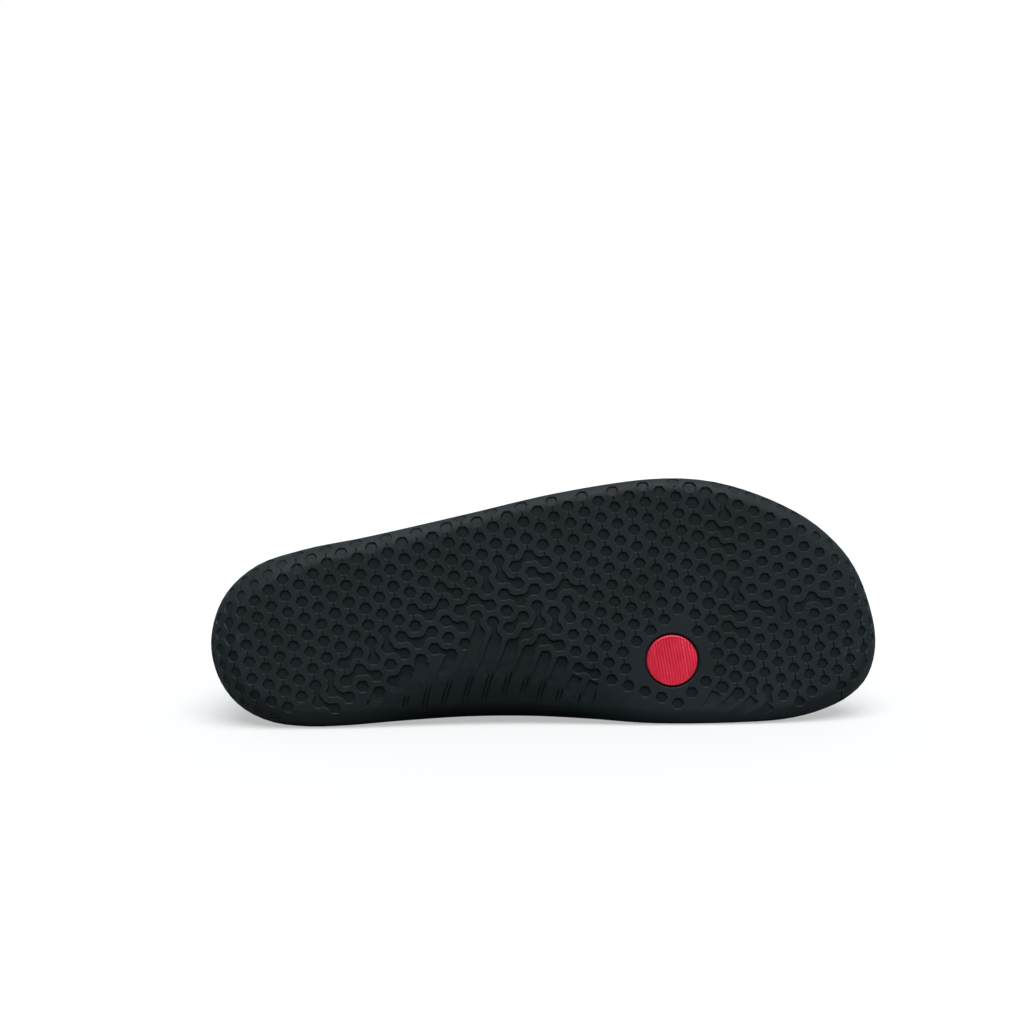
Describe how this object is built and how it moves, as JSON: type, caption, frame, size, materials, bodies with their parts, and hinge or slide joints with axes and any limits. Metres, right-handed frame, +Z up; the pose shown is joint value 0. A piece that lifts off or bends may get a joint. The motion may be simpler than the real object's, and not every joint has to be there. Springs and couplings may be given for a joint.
{
  "type": "barefoot shoe",
  "caption": "Right low-cut barefoot sports shoe lying on its side, with a thin wide outsole with honeycomb tread, a knitted upper, tongue, lace and insole.",
  "frame": {"origin": "middle of the base of the bounding box, on the floor that the shoe lies on", "axes": "+X from heel to toe, -Y the way the tread faces (tipped up by about 7 degrees), +Z up, with the shoe's lateral side on top"},
  "size_m": [0.283, 0.1008, 0.1028],
  "materials": {
    "outsole": "satin black moulded rubber",
    "inlay": "satin red moulded rubber, finely ribbed",
    "insole": "matt cloth over thin foam",
    "upper": "matt black knit",
    "tongue": "matt black knit over thin foam",
    "lace": "matt black flat braid"
  },
  "bodies": {
    "root": {"outsole": "outsole", "inlay": "inlay", "insole": "insole", "upper": "upper", "tongue": "tongue", "lace": "lace"}
  },
  "joints": []
}
